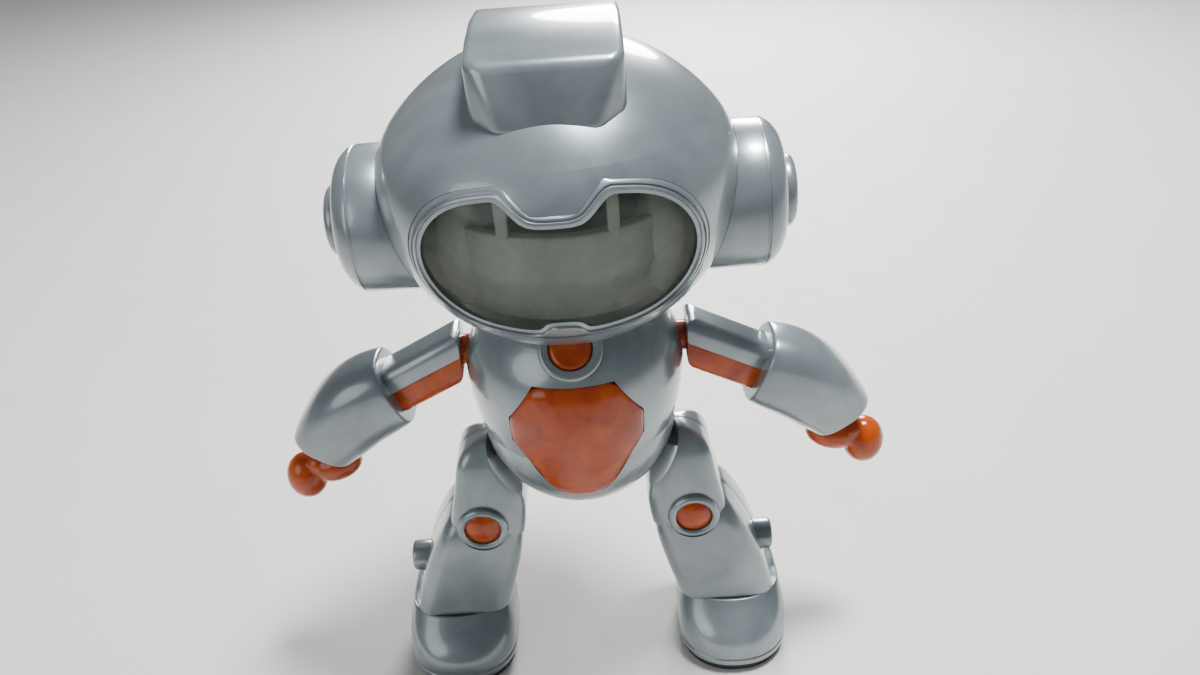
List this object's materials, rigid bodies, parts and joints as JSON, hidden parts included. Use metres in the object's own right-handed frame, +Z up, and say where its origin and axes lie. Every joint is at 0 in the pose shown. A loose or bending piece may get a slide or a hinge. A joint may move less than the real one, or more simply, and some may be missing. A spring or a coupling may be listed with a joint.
{
  "type": "toy robot",
  "caption": "Standing toy robot with a round visored head, crest, ear drums, tapered cuffs, lens knees and round boots; head, arms and legs turn.",
  "frame": {"origin": "middle of the floor under the toy's box, between the boots", "axes": "+Z up, -Y the way the face looks, +X to the toy's own left"},
  "size_m": [0.0924, 0.047, 0.1031],
  "materials": {
    "pearl_silver_plastic": "glossy pearl silver moulded ABS",
    "orange_translucent_plastic": "glossy see-through burnt orange moulded plastic",
    "smoky_clear_plastic": "clear smoky grey-green moulded plastic",
    "grey_panel_plastic": "satin grey-green moulded plastic",
    "dark_peg_plastic": "satin dark grey moulded plastic",
    "screw_steel": "zinc plated"
  },
  "bodies": {
    "torso": {"belly_lens": "orange_translucent_plastic", "chest_lamp_lens": "orange_translucent_plastic", "chest_lamp_ring": "pearl_silver_plastic", "neck_post": "dark_peg_plastic", "torso_front_shell": "pearl_silver_plastic", "torso_rear_shell": "pearl_silver_plastic", "torso_screws": "screw_steel"},
    "head": {"crest_block": "pearl_silver_plastic", "ear_cap_left": "pearl_silver_plastic", "ear_cap_right": "pearl_silver_plastic", "ear_drum_left": "pearl_silver_plastic", "ear_drum_right": "pearl_silver_plastic", "face_panel": "grey_panel_plastic", "helmet_front_shell": "pearl_silver_plastic", "helmet_rear_shell": "pearl_silver_plastic", "visor_bezel": "pearl_silver_plastic", "visor_lens": "smoky_clear_plastic"},
    "arm_left": {"arm_core_left": "orange_translucent_plastic", "forearm_cuff_left": "pearl_silver_plastic", "upper_arm_cover_left": "pearl_silver_plastic"},
    "leg_left": {"boot_left": "pearl_silver_plastic", "boot_sole_left": "dark_peg_plastic", "hip_pin_left": "dark_peg_plastic", "knee_lens_left": "orange_translucent_plastic", "knee_ring_left": "pearl_silver_plastic", "leg_front_shell_left": "pearl_silver_plastic", "leg_rear_shell_left": "pearl_silver_plastic", "shin_disc_left": "pearl_silver_plastic"},
    "arm_right": {"arm_core_right": "orange_translucent_plastic", "forearm_cuff_right": "pearl_silver_plastic", "upper_arm_cover_right": "pearl_silver_plastic"},
    "leg_right": {"boot_right": "pearl_silver_plastic", "boot_sole_right": "dark_peg_plastic", "hip_pin_right": "dark_peg_plastic", "knee_lens_right": "orange_translucent_plastic", "knee_ring_right": "pearl_silver_plastic", "leg_front_shell_right": "pearl_silver_plastic", "leg_rear_shell_right": "pearl_silver_plastic", "shin_disc_right": "pearl_silver_plastic"}
  },
  "joints": [
    {"name": "head_turn", "type": "hinge", "parent": "torso", "child": "head", "pos_m": [0, 0, 0.0665], "axis": [0, 0, 1], "continuous": true},
    {"name": "shoulder_left", "type": "hinge", "parent": "torso", "child": "arm_left", "pos_m": [0.016, 0, 0.0563], "axis": [-1, 0, 0], "range_deg": [-150, 150]},
    {"name": "hip_left", "type": "hinge", "parent": "torso", "child": "leg_left", "pos_m": [0.0143, 0, 0.039], "axis": [-1, 0, 0], "range_deg": [-45, 45]},
    {"name": "shoulder_right", "type": "hinge", "parent": "torso", "child": "arm_right", "pos_m": [-0.016, 0, 0.0563], "axis": [-1, 0, 0], "range_deg": [-150, 150]},
    {"name": "hip_right", "type": "hinge", "parent": "torso", "child": "leg_right", "pos_m": [-0.0143, 0, 0.039], "axis": [-1, 0, 0], "range_deg": [-45, 45]}
  ]
}
